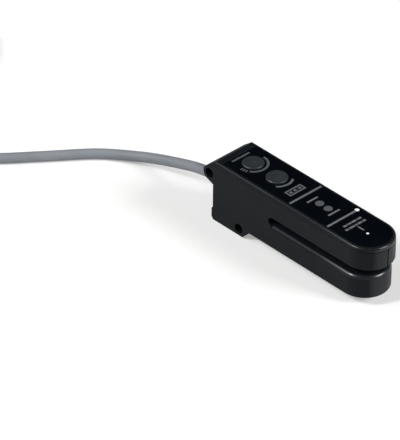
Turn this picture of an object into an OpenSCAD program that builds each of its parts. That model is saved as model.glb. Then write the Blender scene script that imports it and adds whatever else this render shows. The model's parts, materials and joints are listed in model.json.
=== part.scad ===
// Fork sensor: a slotted two-jaw moulding with a bonded lid, two push buttons, two lamps and a tied cable.
// Lengths are in millimetres. X runs from the rear ear to the round nose, Y across the jaws, Z up.

/* [Fork body] */
// Width across the jaws, which is also the diameter of their round noses
body_w = 25; // [23:0.5:30]
// Height from the base to the top of the lid
body_h = 33.6; // [30:0.2:40]
// Height of the upper jaw with its lid
upper_h = 12.2; // [11.4:0.2:14]
// Length of the upper jaw, from the rear face to its nose
upper_l = 102; // [96:1:130]
// How far the lower nose stands back from the upper one
nose_step = 2; // [0:0.5:4]
// Height of the lower jaw's underside above the base
jaw_rise = 4.5; // [3:0.5:6]
// Thickness of the moulded walls
wall = 2; // [1.6:0.1:2.4]
// Rounding along the bottom edges
low_edge_r = 1; // [0.4:0.1:1.4]

/* [Slot] */
// Distance from the rear face to the closed end of the slot
throat_x = 37; // [36:1:48]
// Clear height of the slot
slot_gap = 4.4; // [4.2:0.1:5]
// Rounding of the slot's closed end
throat_r = 2; // [0.5:0.1:2.1]
// Rounding of the lead-in lip on the lower jaw
lip_r = 2.1; // [1:0.1:2.4]
// Rounding of the upper jaw's lower edge
upper_lip_r = 0.5; // [0.2:0.1:0.8]
// Width of the sight mark on the upper nose
mark_w = 0.7; // [0.4:0.1:1]
// Depth of the sight mark
mark_depth = 0.5; // [0.2:0.1:0.8]

/* [Screw holes] */
// Diameter of the two cross holes
hole_d = 5.3; // [4.4:0.1:5.5]
// Distance of the ear's hole behind the rear face
ear_back = 2.5; // [2.2:0.1:3.2]
// Depth of the ear's hole below the top of the lid
ear_drop = 8; // [7.6:0.1:8.6]
// Outside radius of the ear around its hole
ear_r = 4; // [3.9:0.1:4.2]
// Slope of the shoulder above the ear, in degrees
ear_slope = 39; // [34:1:46]
// Height at which the ear's underside meets the rear face
ear_under_z = 20.4; // [19.6:0.2:20.8]
// Distance of the foot's hole ahead of the rear face
foot_hole_x = 17.6; // [14:0.2:18]
// Height of the foot's hole above the base
foot_hole_z = 4.2; // [4:0.1:4.6]
// Length of the flat foot under the rear block
foot_l = 19.5; // [19:0.5:22]
// How far the heel pad stands out of the rear face
heel_out = 0.8; // [0.4:0.1:1.2]
// Height of the heel pad's top edge
heel_z = 7.4; // [6:0.2:8]

/* [Lid and label] */
// Thickness of the lid at its rim
lid_t = 2.2; // [2:0.1:2.8]
// Rounding of the lid's top edge
lid_edge_r = 1.5; // [1:0.1:1.5]
// Thickness of the sealing bead under the lid
seal_t = 0.4; // [0.3:0.1:0.6]
// How far the bead is set back from the outside
seal_inset = 0.5; // [0.3:0.1:0.8]
// Depth of the lid's rib inside the walls
rib_h = 1.4; // [1:0.1:1.8]
// Thickness of the lid's rib
rib_t = 1.2; // [0.8:0.1:1.4]
// Thickness of the label
label_t = 0.3; // [0.2:0.05:0.4]
// Width of the bare rim around the label
label_margin = 1.75; // [1.7:0.05:2.4]
// Distance from the rear face to the label
label_x = 4.6; // [4:0.2:6]

/* [Buttons] */
// Diameter of a button's cap
button_d = 10.6; // [8:0.2:11]
// Distance from the rear face to the rear button
button_x = 13.8; // [13:0.2:15]
// Spacing of the two buttons
button_pitch = 15.8; // [15:0.2:18]
// How far a cap stands above the label
button_proud = 0.7; // [0.5:0.1:1]
// Travel of a button
button_travel = 0.4; // [0.2:0.05:0.5]
// Clearance around a cap
button_gap = 0.25; // [0.2:0.05:0.4]
// Depth of the finger dish in a cap
dish_depth = 0.25; // [0.1:0.05:0.4]
// Side of a switch under a button
switch_w = 6; // [5:0.2:6.6]
// Height of a switch's case
switch_h = 2; // [1.6:0.1:2.2]
// Diameter of a switch's plunger
plunger_d = 3; // [2.4:0.1:3.4]

/* [Lamps] */
// Diameter of a lamp window
lamp_d = 4.2; // [3:0.1:4.6]
// Distance from the rear face to the first window
lamp_x = 57.7; // [54:0.2:60]
// Spacing of the two windows
lamp_pitch = 5.5; // [5.2:0.1:7]

/* [Boards] */
// Thickness of the circuit boards
board_t = 1.2; // [0.8:0.1:1.4]
// Height of the main board above the upper jaw's floor
board_lift = 1.8; // [1.6:0.1:2]
// Width of the ledges that carry the main board
ledge_w = 1.2; // [0.8:0.1:1.6]
// Thickness of the plate that closes the lower jaw
cover_t = 1.8; // [1.4:0.1:2]
// Width of the ribbon that links the boards
ribbon_w = 6; // [4:0.5:8]
// Thickness of that ribbon
ribbon_t = 0.4; // [0.3:0.05:0.6]

/* [Optics] */
// Distance of the light beam behind the upper nose
beam_inset = 13.7; // [12.5:0.1:16]
// Diameter of the two lens faces
lens_d = 5; // [3:0.2:6]
// Height of the emitter
emitter_h = 2.4; // [2:0.1:2.8]

/* [Cable] */
// Diameter of the cable
cable_d = 5.2; // [4.6:0.1:5.4]
// Diameter of the gland's flanges
gland_d = 8.8; // [8.6:0.2:9.4]
// Length of the gland's tapered tail outside the rear face
gland_tail = 10.6; // [8:0.2:12]
// Diameter of the coloured cores
core_d = 1.4; // [1:0.1:1.5]
// Middle radius of the stored coil
coil_r = 30; // [29:0.5:31]
// Thickness of the tie around the coil
tie_t = 0.8; // [0.5:0.1:1]
// Width of that tie
tie_w = 5; // [3:0.5:8]

/* [Hidden] */
$fn = 64;

plastic = "#24282a";
soft_black = "#15171a";
board_green = "#1f5a3c";
chip_black = "#1b1c1e";
cable_grey = "#84888d";
core_colours = ["#6b3f23", "#e4e2da", "#2453a6", "#1a1a1c"];

fit = 0.15;            // play between pieces that plug together
touch = 0.2;           // gap between optical pieces that must not press
over = 0.5;            // overlap of joined solids and overrun of cuts

half_w = body_w / 2;
in_r = half_w - wall;                          // inner half width of both jaws
lower_l = upper_l - nose_step;
upper_cx = upper_l - half_w;                   // axes of the two round noses
lower_cx = lower_l - half_w;
beam_x = upper_l - beam_inset;
slot_top = body_h - upper_h;
slot_z = slot_top - slot_gap;                  // the slot's floor
seam_z = body_h - lid_t - seal_t;              // top of the body's rim
lid_z = body_h - lid_t;                        // underside of the lid
ear_z = body_h - ear_drop;
ear_reach = ear_back + ear_r;
mid_x = (upper_l - ear_reach) / 2;             // the frame's origin is half way along the body

// Rear block
pocket_z = foot_hole_z + hole_d / 2 + wall;    // floor of the wiring pocket, a wall above the foot's hole
pocket_end = throat_x - wall;
gland_floor_gap = 0.25;
gland_z = pocket_z + gland_floor_gap + gland_d / 2;
neck_t = 1;
neck_d = cable_d + 2 * neck_t;                 // gland where it passes the rear wall
gland_flange = 1.5;
heel_bevel = 0.6;
heel_low_z = 1.2;

// Upper jaw
floor_z = slot_top + wall;
board_z = floor_z + board_lift;
board_top = board_z + board_t;
board_gap = 0.3;

// Lower jaw
rebate = 1.2;                                  // shelf that the bottom cover lies against
cover_back = 9;                                // reach of the bottom cover behind the throat
cover_x = throat_x - cover_back;
cover_top = jaw_rise + cover_t;
lower_r = in_r - rebate;
roof_z = slot_z - wall;
lens_flange = 0.7;
lens_rim = 1;
emitter_gap = 0.3;
emitter_board_z = roof_z - lens_flange - emitter_gap - emitter_h - board_t;
emitter_board_top = emitter_board_z + board_t;
emitter_board_l = 12;                          // length of the emitter board behind the beam
emitter_board_x = beam_x - emitter_board_l;
post_d = 3;
post_inset = 2.5;

// Buttons, switches and lamps
button_xs = [button_x, button_x + button_pitch];
cap_top = body_h + button_proud;
cap_edge = 0.35;
button_flange = 1;
flange_rim = 1;
stem_d = 4;
plunger_out = 0.8;
plunger_seat = 0.4;                            // floor under a plunger's bore
plunger_top = board_top + switch_h + plunger_out;
plunger_low = board_top + plunger_seat + button_travel + fit;
lamp_xs = [lamp_x, lamp_x + lamp_pitch];
lamp_chip = [2.8, 2.6, 1.9];
pipe_rim = 0.5;

// Parts on the main board
chip = [8, 8, 1];
chip_x = (lamp_xs[1] + beam_x) / 2;
driver = [5, 4, 1.6];
driver_x = (button_xs[1] + lamp_x) / 2;
capacitor_d = 4;
capacitor_h = 3.4;
capacitor_y = 6;
receiver_size = [4.4, 4, board_lift - lens_flange - touch];
emitter_base = 3.6;

// Link between the boards
ribbon_bend = 3;
ribbon_back = 4;                               // distance of the ribbon's rise from the pocket's front wall
ribbon_x = pocket_end - ribbon_back;
ribbon_hold = 3;                               // length soldered on the emitter board

// Cable
jacket_in = 5;
jacket_end = wall + jacket_in;                 // the jacket's end inside the pocket
crimp_t = 0.6;
crimp_l = 2;
core_offset = 0.85;
core_pitch = 2.4;                              // spacing of the cores on the main board
core_mid = 1.5;                                // middle of the four cores, counted from 0
core_straight = 1.5;
core_reach = 6;                                // from the jacket's end to the rise of the nearer cores
core_bend = 2.2;
core_ease = 0.3 * core_bend;
cable_r = cable_d / 2;
cable_sides = 10;
core_sides = 8;
route = [
    [jacket_end, 0, gland_z], [-4, 0, gland_z], [-13, 0, gland_z], [-22, 0, 12.2],
    [-32, -0.5, 9.7], [-42, -2, 7.3], [-52, -4.6, 5.2], [-61, -8.4, 3.6], [-68, -12.6, 2.8],
    [-74, -17.8, 2.6], [-80, -25, 2.6], [-87, -34.4, 2.6], [-95, -44.8, 2.6], [-101, -52.5, 2.6],
    [-107.7, -59.3, 2.6], [-115.7, -64.5, 2.6], [-124.7, -67.7, 2.6], [-134.2, -68.8, 2.6],
    [-150, -68.8, 2.6], [-167, -68.8, 2.6], [-185.5, -68.8, 2.6]
];
coil_at = [-205, -33.6];
coil_columns = 3;
coil_layers = 3;
coil_w = coil_columns * cable_d;
coil_h = coil_layers * cable_d;
coil_top = tie_t + coil_h;
tie_turn = 60;                                 // where the tie sits around the coil, in degrees
tie_gap = 0.2;
tie_head = [6, 6.4, 3.4];                      // locking head on top of the tie, along it, across it and high
tail_turn = [270, 147];                        // the cable's end lies on the coil between these angles
tail_rings = 9;
lead_d = 1.4;
lead_sides = 8;
lead_spread = 2.6;                             // spacing of the four leads at their ends
lead_gap = -1.2;                               // angle between the jacket's end and the leads
lead_arc = -38;                                // angle that the leads follow around the coil
lead_rings = 7;
ferrule_d = 0.9;
ferrule_arc = -12;

// Moves the model from the rear face to the frame's origin
module in_frame() {
    translate([-mid_x, 0, 0]) children();
}

// Carries a section in Y and Z along X
module along_x(x0, x1) {
    translate([x0, 0, 0]) rotate([90, 0, 90]) linear_extrude(x1 - x0) children();
}

// Carries an outline in X and Z across the whole width
module across_y(width) {
    rotate([90, 0, 0]) linear_extrude(width, center = true) children();
}

// Section of a jaw or the lid, with its outer corners rounded below by r0 and above by r1
module section(w, z0, z1, r0, r1) {
    translate([-w, z0 + r0]) square([2 * w, z1 - z0 - r0 - r1]);
    if (r0 > 0) {
        translate([r0 - w, z0]) square([2 * (w - r0), z1 - z0 - r1]);
        for (side = [-1, 1]) corner(side * (w - r0), z0 + r0, r0, -r0);
    }
    if (r1 > 0) {
        translate([r1 - w, z0 + r0]) square([2 * (w - r1), z1 - z0 - r0]);
        for (side = [-1, 1]) corner(side * (w - r1), z1 - r1, r1, 0);
    }
}

// Half disc that rounds a corner; it starts at the height low beside its centre
module corner(y, z, r, low) {
    translate([y, z]) intersection() {
        circle(r);
        translate([-r, low]) square([2 * r, r]);
    }
}

// A bar of that section that ends in a round nose about the axis at cx
module prow(x0, cx, w, z0, z1, r0, r1) {
    along_x(x0, cx) section(w, z0, z1, r0, r1);
    translate([cx, 0, 0]) rotate([0, 0, -90]) rotate_extrude(angle = 180)
        intersection() {
            section(w, z0, z1, r0, r1);
            translate([0, z0 - over]) square([w + over, z1 - z0 + 2 * over]);
        }
}

// Plan of a flat piece with a round front end
module plan(x0, cx, r) {
    translate([x0, -r]) square([cx - x0, 2 * r]);
    translate([cx, 0]) circle(r);
}

module slab(x0, cx, r, z0, z1) {
    translate([0, 0, z0]) linear_extrude(z1 - z0) plan(x0, cx, r);
}

module block(centre, size) {
    translate([centre[0] - size[0] / 2, centre[1] - size[1] / 2, centre[2]]) cube(size);
}

// Where the sloping shoulder behind the lid reaches the height z
ear_tip = [-ear_back - ear_r * sin(ear_slope), ear_z + ear_r * cos(ear_slope)];
function shoulder_x(z) = ear_tip[0] + (z - ear_tip[1]) / tan(ear_slope);

// Point where a line from the rear face touches the ear's underside
ear_dx = -ear_back;
ear_dz = ear_z - ear_under_z;
ear_far = sqrt(ear_dx * ear_dx + ear_dz * ear_dz);
ear_turn = atan2(ear_dz, ear_dx) + asin(ear_r / ear_far);
ear_line = sqrt(ear_far * ear_far - ear_r * ear_r);
ear_low = [ear_line * cos(ear_turn), ear_under_z + ear_line * sin(ear_turn)];

// Side outline of the rear block: foot, heel pad, ear and shoulder
module rear_outline() {
    notch = jaw_rise + 2 * low_edge_r;
    polygon([
        [0, 0], [foot_l, 0], [foot_l + notch, notch], [throat_x, notch],
        [throat_x, seam_z], [shoulder_x(seam_z), seam_z], ear_tip,
        [-ear_back, ear_z], ear_low, [0, ear_under_z],
        [0, heel_z], [-heel_out, heel_z - heel_bevel],
        [-heel_out, heel_low_z + heel_bevel], [0, heel_low_z]
    ]);
    translate([-ear_back, ear_z]) circle(ear_r);
}

module cross_hole(x, z) {
    translate([x, 0, z]) rotate([90, 0, 0]) cylinder(d = hole_d, h = body_w + 2 * over, center = true);
}

// Fills the corners at the slot's closed end, as far as the two lips
module throat() {
    across_y(body_w) difference() {
        translate([throat_x - over, slot_z - lip_r]) square([throat_r + over, slot_gap + lip_r + upper_lip_r]);
        for (z = [slot_z + throat_r, slot_top - throat_r]) translate([throat_x + throat_r, z]) circle(throat_r);
        translate([throat_x, slot_z + throat_r]) square([throat_r + over, slot_gap - 2 * throat_r]);
    }
}

module outer_body() {
    intersection() {
        across_y(body_w) rear_outline();
        along_x(-ear_reach - over, throat_x + over) section(half_w, 0, seam_z + over, low_edge_r, 0);
    }
    prow(foot_l - over, lower_cx, half_w, jaw_rise, slot_z, low_edge_r, lip_r);
    prow(throat_x - over, upper_cx, half_w, slot_top, seam_z, upper_lip_r, 0);
    throat();
}

// Shelves along both walls that carry the main board
module ledges() {
    for (side = [-1, 1])
        translate([wall - over, min(side * (in_r + over), side * (in_r - ledge_w)), floor_z - over])
            cube([upper_cx - wall + over, ledge_w + over, board_lift + over]);
}

module fork_body() color(plastic) in_frame() difference() {
    union() {
        difference() {
            outer_body();
            slab(wall, upper_cx, in_r, floor_z, seam_z + over);
            translate([wall, -in_r, pocket_z]) cube([pocket_end - wall, 2 * in_r, seam_z - pocket_z]);
            slab(cover_x + rebate, lower_cx, lower_r, jaw_rise - over, roof_z);
            slab(cover_x, lower_cx, in_r, jaw_rise - over, cover_top);
        }
        ledges();
    }
    cross_hole(-ear_back, ear_z);
    cross_hole(foot_hole_x, foot_hole_z);
    translate([beam_x, 0, roof_z - over]) cylinder(d = lens_d + 2 * fit, h = floor_z - roof_z + 2 * over);
    translate([-heel_out - over, 0, gland_z]) rotate([0, 90, 0]) cylinder(d = neck_d + 2 * fit, h = wall + 2);
    translate([upper_l - mark_depth, -mark_w / 2, slot_top - over])
        cube([mark_depth + over, mark_w, seam_z - slot_top + 2 * over]);
}

module lid() color(plastic) in_frame() difference() {
    union() {
        prow(shoulder_x(lid_z) - over, upper_cx, half_w, lid_z, body_h, 0, lid_edge_r);
        difference() {
            slab(wall + fit, upper_cx, in_r - fit, seam_z - rib_h, lid_z + over);
            slab(wall + fit + rib_t, upper_cx, in_r - fit - rib_t, seam_z - rib_h - over, lid_z);
        }
    }
    translate([shoulder_x(lid_z), 0, lid_z]) rotate([0, -ear_slope, 0])
        translate([-body_h, -body_w, 0]) cube([2 * body_h, 2 * body_w, body_h]);
    slab(label_x - fit, upper_cx, half_w - label_margin + fit, body_h - label_t, body_h + over);
    for (x = button_xs) translate([x, 0, lid_z - over])
        cylinder(d = button_d + 2 * button_gap, h = lid_t + 2 * over);
    for (x = lamp_xs) translate([x, 0, lid_z - over]) cylinder(d = lamp_d + 2 * fit, h = lid_t + 2 * over);
}

module lid_seal() color(soft_black) in_frame() difference() {
    slab(shoulder_x(lid_z) + seal_inset, upper_cx, half_w - seal_inset, seam_z, lid_z);
    slab(wall, upper_cx, in_r, seam_z - over, lid_z + over);
}

module label() color("#02050c") in_frame() difference() {
    slab(label_x, upper_cx, half_w - label_margin, body_h - label_t, body_h);
    for (x = button_xs) translate([x, 0, body_h - label_t - over])
        cylinder(d = button_d + 2 * button_gap, h = label_t + 2 * over);
    for (x = lamp_xs) translate([x, 0, body_h - label_t - over])
        cylinder(d = lamp_d + 2 * fit, h = label_t + 2 * over);
}

// Plate that closes the lower jaw from below, with the posts of the emitter board
module bottom_cover() color(plastic) in_frame() {
    slab(cover_x + fit, lower_cx, in_r - fit, jaw_rise, cover_top);
    for (x = [emitter_board_x + post_inset, lower_cx + post_inset])
        for (side = [-1, 1])
            translate([x, side * (lower_r / 2), cover_top - over])
                cylinder(d = post_d, h = emitter_board_z - cover_top + over);
}

// Push button: dished cap, retaining flange and stem
module button(x) {
    cap_r = button_d / 2;
    dish_r = cap_r - 2 * cap_edge;
    dish_ball = (dish_r * dish_r + dish_depth * dish_depth) / (2 * dish_depth);
    translate([x, 0, 0]) difference() {
        union() {
            translate([0, 0, lid_z - over]) cylinder(r = cap_r, h = cap_top - cap_edge - lid_z + over);
            translate([0, 0, cap_top - cap_edge]) cylinder(r1 = cap_r, r2 = cap_r - cap_edge, h = cap_edge);
            translate([0, 0, lid_z - button_flange]) cylinder(r = cap_r + flange_rim, h = button_flange);
            translate([0, 0, plunger_top]) cylinder(d = stem_d, h = lid_z - plunger_top);
        }
        translate([0, 0, cap_top - dish_depth + dish_ball]) sphere(r = dish_ball, $fn = 128);
    }
}

module rear_button() color("#34383a") in_frame() button(button_xs[0]);
module front_button() color("#34383a") in_frame() button(button_xs[1]);

module plunger(x) {
    translate([x, 0, plunger_low]) cylinder(d = plunger_d, h = plunger_top - plunger_low);
}

module rear_plunger() color("#b9b4a8") in_frame() plunger(button_xs[0]);
module front_plunger() color("#b9b4a8") in_frame() plunger(button_xs[1]);

module switch_case(x) {
    difference() {
        block([x, 0, board_top], [switch_w, switch_w, switch_h]);
        translate([x, 0, board_top + plunger_seat]) cylinder(d = plunger_d + 2 * fit, h = switch_h);
    }
}

module rear_switch() color(chip_black) in_frame() switch_case(button_xs[0]);
module front_switch() color(chip_black) in_frame() switch_case(button_xs[1]);

// Clear moulding that carries both lamps' light up through the lid
module light_pipe() color("#c9cdd0") in_frame() {
    pipe_low = board_top + lamp_chip[2] + touch;
    flange_r = lamp_d / 2 + pipe_rim;
    for (x = lamp_xs) translate([x, 0, pipe_low]) cylinder(d = lamp_d, h = body_h - pipe_low);
    translate([0, 0, lid_z - button_flange]) linear_extrude(button_flange) {
        for (x = lamp_xs) translate([x, 0]) circle(flange_r);
        translate([lamp_xs[0], -flange_r]) square([lamp_pitch, 2 * flange_r]);
    }
}

module power_lamp() color("#e9e4cf") in_frame() block([lamp_xs[0], 0, board_top], lamp_chip);
module output_lamp() color("#e9e4cf") in_frame() block([lamp_xs[1], 0, board_top], lamp_chip);

module main_board() color(board_green) in_frame()
    slab(wall + board_gap, upper_cx, in_r - board_gap, board_z, board_top);

module controller_chip() color(chip_black) in_frame() block([chip_x, 0, board_top], chip);
module driver_chip() color(chip_black) in_frame() block([driver_x, 0, board_top], driver);

module capacitors() color("#a9adb0") in_frame()
    for (side = [-1, 1]) translate([driver_x, side * capacitor_y, board_top])
        cylinder(d = capacitor_d, h = capacitor_h);

module receiver() color(chip_black) in_frame()
    block([beam_x, 0, board_z - receiver_size[2]], receiver_size);

// Stepped lens: a face in the jaw's wall and a flange behind it
module receiver_lens() color("#3a1216") in_frame() translate([beam_x, 0, 0]) {
    translate([0, 0, slot_top + fit]) cylinder(d = lens_d, h = wall - fit + lens_flange);
    translate([0, 0, floor_z]) cylinder(d = lens_d + 2 * lens_rim, h = lens_flange);
}

module emitter_lens() color("#3a1216") in_frame() translate([beam_x, 0, 0]) {
    translate([0, 0, roof_z - lens_flange]) cylinder(d = lens_d, h = wall - fit + lens_flange);
    translate([0, 0, roof_z - lens_flange]) cylinder(d = lens_d + 2 * lens_rim, h = lens_flange);
}

module emitter_board() color(board_green) in_frame()
    slab(emitter_board_x, lower_cx, lower_r - board_gap, emitter_board_z, emitter_board_top);

// Emitter: a square base under a domed lens
module emitter() color("#d8d4c6") in_frame() {
    dome_r = emitter_base / 2 - touch;
    block([beam_x, 0, emitter_board_top], [emitter_base, emitter_base, emitter_h - dome_r]);
    intersection() {
        translate([beam_x, 0, emitter_board_top + emitter_h - dome_r]) sphere(r = dome_r);
        block([beam_x, 0, emitter_board_top], [emitter_base, emitter_base, emitter_h]);
    }
}

// Flat ribbon along the lower jaw, turned up behind the throat to the main board
module link_ribbon() color("#8f9499") in_frame() across_y(ribbon_w) {
    z = emitter_board_top;
    bend_x = ribbon_x + ribbon_bend;
    translate([bend_x, z]) square([emitter_board_x + ribbon_hold - bend_x, ribbon_t]);
    translate([ribbon_x, z + ribbon_bend]) square([ribbon_t, board_z - z - ribbon_bend]);
    intersection() {
        translate([bend_x, z + ribbon_bend]) difference() {
            circle(ribbon_bend);
            circle(ribbon_bend - ribbon_t);
        }
        translate([ribbon_x, z]) square(ribbon_bend);
    }
}

// Strain relief: flanges on both sides of the rear wall and a tapered tail along the cable
module cable_gland() color(soft_black) in_frame() translate([0, 0, gland_z]) rotate([0, -90, 0])
    rotate_extrude() polygon([
        [cable_r, -wall - gland_flange], [gland_d / 2, -wall - gland_flange], [gland_d / 2, -wall],
        [neck_d / 2, -wall], [neck_d / 2, 0], [gland_d / 2, 0], [gland_d / 2, gland_flange],
        [neck_d / 2, gland_flange], [cable_r + crimp_t, gland_tail], [cable_r, gland_tail]
    ]);

// Metal ring squeezed onto the jacket inside the gland
module cable_crimp() color("#b4b8bb") in_frame()
    translate([wall + gland_flange, 0, gland_z]) rotate([0, 90, 0]) difference() {
        cylinder(r = cable_r + crimp_t, h = crimp_l);
        translate([0, 0, -over]) cylinder(r = cable_r, h = crimp_l + 2 * over);
    }

// Round tube along a path. The rings turn about the reference direction, which no stretch may follow.
function unit(v) = v / norm(v);
function heading(path, i) = unit(path[min(i + 1, len(path) - 1)] - path[max(i - 1, 0)]);
function ring(at, dir, reference, r, sides) =
    let (across = unit(cross(dir, reference)), up = cross(across, dir))
    [for (j = [0:sides - 1]) at + r * (cos(360 * j / sides) * across + sin(360 * j / sides) * up)];

module tube(path, r, sides, reference) {
    rings = len(path);
    points = [for (i = [0:rings - 1]) each ring(path[i], heading(path, i), reference, r, sides)];
    walls = [for (i = [0:rings - 2], j = [0:sides - 1])
        let (a = i * sides + j, b = i * sides + (j + 1) % sides)
        each [[a, b, b + sides], [a, b + sides, a + sides]]];
    start = [for (j = [0:sides - 1]) sides - 1 - j];
    end = [for (j = [0:sides - 1]) (rings - 1) * sides + j];
    polyhedron(points, concat([start], walls, [end]));
}

// One core from the jacket's end, round a bend and up to the main board
module core(index) {
    y0 = (index % 2 == 0 ? -1 : 1) * core_offset;
    z0 = gland_z + (index < 2 ? -1 : 1) * core_offset;
    y1 = (index - core_mid) * core_pitch;
    x1 = jacket_end + core_reach + (index < 2 ? core_pitch : 0);
    color(core_colours[index]) in_frame() tube([
        [jacket_end, y0, z0], [jacket_end + core_straight, y0, z0],
        [x1 - core_bend, y1, z0 + core_ease], [x1 - core_ease, y1, z0 + core_bend],
        [x1, y1, z0 + 2 * core_bend], [x1, y1, board_z - core_bend], [x1, y1, board_z]
    ], core_d / 2, core_sides, [0, 1, 0]);
}

module core_brown() core(0);
module core_white() core(1);
module core_blue() core(2);
module core_black() core(3);

module cable_run() color(cable_grey) in_frame() tube(route, cable_r, cable_sides, [0, 0, 1]);

// Outer shape of the tied coil
module cable_coil() color(cable_grey) in_frame() translate([coil_at[0], coil_at[1], tie_t]) rotate_extrude()
    translate([coil_r, 0]) section(coil_w / 2, 0, coil_h, cable_r, cable_r);

// Point on the coil at an angle, a distance from its axis and a height
function on_coil(turn, r, z) = [coil_at[0] + r * cos(turn), coil_at[1] + r * sin(turn), z];

// Smooth step from 0 to 1
function ease(u) = let (v = min(1, max(0, u))) v * v * (3 - 2 * v);

// The cable's end, which crosses the coil's top from the inner column to the middle one
module cable_tail() color(cable_grey) in_frame() tube([
    for (i = [0:tail_rings - 1])
        let (u = i / (tail_rings - 1))
        on_coil(tail_turn[0] + (tail_turn[1] - tail_turn[0]) * u,
            coil_r - cable_d * (1 - ease(u)), coil_top + cable_r)
], cable_r, cable_sides, [0, 0, 1]);

module tie_loop(grow) {
    w = coil_w / 2 + grow;
    section(w, -grow, coil_h + grow, cable_r, cable_r);
}

// Strap around the coil with its locking head on top
module coil_tie() color(soft_black) in_frame() translate([coil_at[0], coil_at[1], tie_t])
    rotate([0, 0, tie_turn]) translate([coil_r, 0, 0]) {
        across_y(tie_w) difference() {
            tie_loop(tie_t);
            tie_loop(tie_gap);
        }
        block([0, 0, coil_h + tie_gap], tie_head);
    }

// Path of a lead: out of the jacket's end, down to the coil's top and around it
function lead_path(index, from, to) = let (
    side = index - core_mid,
    rest = coil_top + lead_d / 2,
    high = coil_top + cable_r + (index % 2 == 0 ? -1 : 1) * core_offset)
    [for (i = [0:lead_rings - 1])
        let (u = from + (to - from) * i / (lead_rings - 1), fall = ease(2 * u))
        on_coil(tail_turn[1] + lead_gap + lead_arc * u,
            coil_r + side * (core_offset + (lead_spread - core_offset) * fall),
            high + (rest - high) * fall)];

module lead(index) {
    color(core_colours[index]) in_frame()
        tube(lead_path(index, 0, 1), lead_d / 2, lead_sides, [0, 0, 1]);
}

module lead_brown() lead(0);
module lead_white() lead(1);
module lead_blue() lead(2);
module lead_black() lead(3);

// Bare crimped tips of the four leads
module lead_ferrules() color("#b4b8bb") in_frame()
    for (index = [0:3])
        tube(lead_path(index, 1, 1 + ferrule_arc / lead_arc), ferrule_d / 2, lead_sides, [0, 0, 1]);

fork_body();
lid();
lid_seal();
label();
bottom_cover();
rear_button();
front_button();
rear_plunger();
front_plunger();
rear_switch();
front_switch();
light_pipe();
power_lamp();
output_lamp();
main_board();
controller_chip();
driver_chip();
capacitors();
receiver();
receiver_lens();
emitter_board();
emitter();
emitter_lens();
link_ribbon();
cable_gland();
cable_crimp();
core_brown();
core_white();
core_blue();
core_black();
cable_run();
cable_coil();
cable_tail();
coil_tie();
lead_brown();
lead_white();
lead_blue();
lead_black();
lead_ferrules();
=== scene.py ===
import bpy
import json
import numpy as np
from mathutils import Matrix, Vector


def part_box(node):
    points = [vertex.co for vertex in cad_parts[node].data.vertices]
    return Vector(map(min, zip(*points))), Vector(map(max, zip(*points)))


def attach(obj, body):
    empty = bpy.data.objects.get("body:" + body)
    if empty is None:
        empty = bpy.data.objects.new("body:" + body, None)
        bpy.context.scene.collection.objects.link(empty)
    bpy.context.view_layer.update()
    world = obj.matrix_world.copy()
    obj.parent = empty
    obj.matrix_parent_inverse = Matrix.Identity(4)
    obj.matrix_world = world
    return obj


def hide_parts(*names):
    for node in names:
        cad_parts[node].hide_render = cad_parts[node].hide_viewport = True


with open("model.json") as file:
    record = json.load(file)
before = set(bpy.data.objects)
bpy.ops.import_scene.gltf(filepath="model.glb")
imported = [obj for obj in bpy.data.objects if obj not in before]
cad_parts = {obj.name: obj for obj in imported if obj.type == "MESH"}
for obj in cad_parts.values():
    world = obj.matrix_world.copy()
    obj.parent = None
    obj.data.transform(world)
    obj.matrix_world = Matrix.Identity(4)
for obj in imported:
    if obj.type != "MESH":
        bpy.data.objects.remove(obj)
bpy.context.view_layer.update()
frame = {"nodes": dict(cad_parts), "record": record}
nodes = frame["nodes"]
scene = bpy.context.scene
mm = 0.001
earBehind = 2.5  # mm from the body's rear face back to the ear's hole
mounts = {m["name"]: m for m in frame["record"]["mounts"]}
rearX = mounts["ear_hole"]["pos_m"][0] + earBehind * mm  # X of the body's rear face
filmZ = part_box("label")[1].z  # top of the label film
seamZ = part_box("lid_seal")[1].z  # top of the seal, where the lid's wall starts
print("frame loaded:", len(nodes), "nodes")


# Camera

cameraLook = {
    "aim": (-33.757, -34.060, 17.788),  # mm, the point in the middle of the picture
    "right": (0.68751, 0.72613, 0.00849),
    "up": (-0.42739, 0.39516, 0.81313),
    "distance": 2056.54,
    "lens": 364.02,
    "clip": (0.05, 60),  # metres
}


def stand(name, data, axes, at):
    # a new object whose own X, Y and Z point along the three axes, put at that point in metres
    place = np.eye(4)
    place[:3] = np.column_stack([*axes, at])
    thing = bpy.data.objects.new(name, data)
    thing.matrix_world = Matrix(place.tolist())
    scene.collection.objects.link(thing)
    return thing


def makeCamera(look):
    # the camera looks along up x right and stands one distance back from its aim
    right, up, aim = (np.array(look[key]) for key in ("right", "up", "aim"))
    back = np.cross(right, up)
    data = bpy.data.cameras.new("camera")
    data.lens = look["lens"]
    data.clip_start, data.clip_end = look["clip"]
    scene.camera = stand("camera", data, (right, up, back), (aim + look["distance"] * back) * mm)


makeCamera(cameraLook)
scene.view_settings.view_transform = "Standard"
print("camera placed")


# Shared mesh work

sharpFrom = 35  # degrees between two faces, from which their edge stays sharp


def addMesh(name, points, faces, material):
    mesh = bpy.data.meshes.new(name)
    mesh.from_pydata(points.tolist(), [], faces)
    mesh.materials.append(material)
    piece = bpy.data.objects.new(name, mesh)
    scene.collection.objects.link(piece)
    return piece


def gridFaces(rings, sides, start):
    # quads between each ring and the next, closed around, and one flat face on each end
    i, j = np.meshgrid(np.arange(rings - 1), np.arange(sides), indexing="ij")
    a, b = i * sides + j, i * sides + (j + 1) % sides
    quads = np.stack([a, b, b + sides, a + sides], axis=-1).reshape(-1, 4) + start
    first, last = np.arange(sides)[::-1] + start, np.arange(sides) + (rings - 1) * sides + start
    return quads.tolist() + [first.tolist(), last.tolist()]


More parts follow.
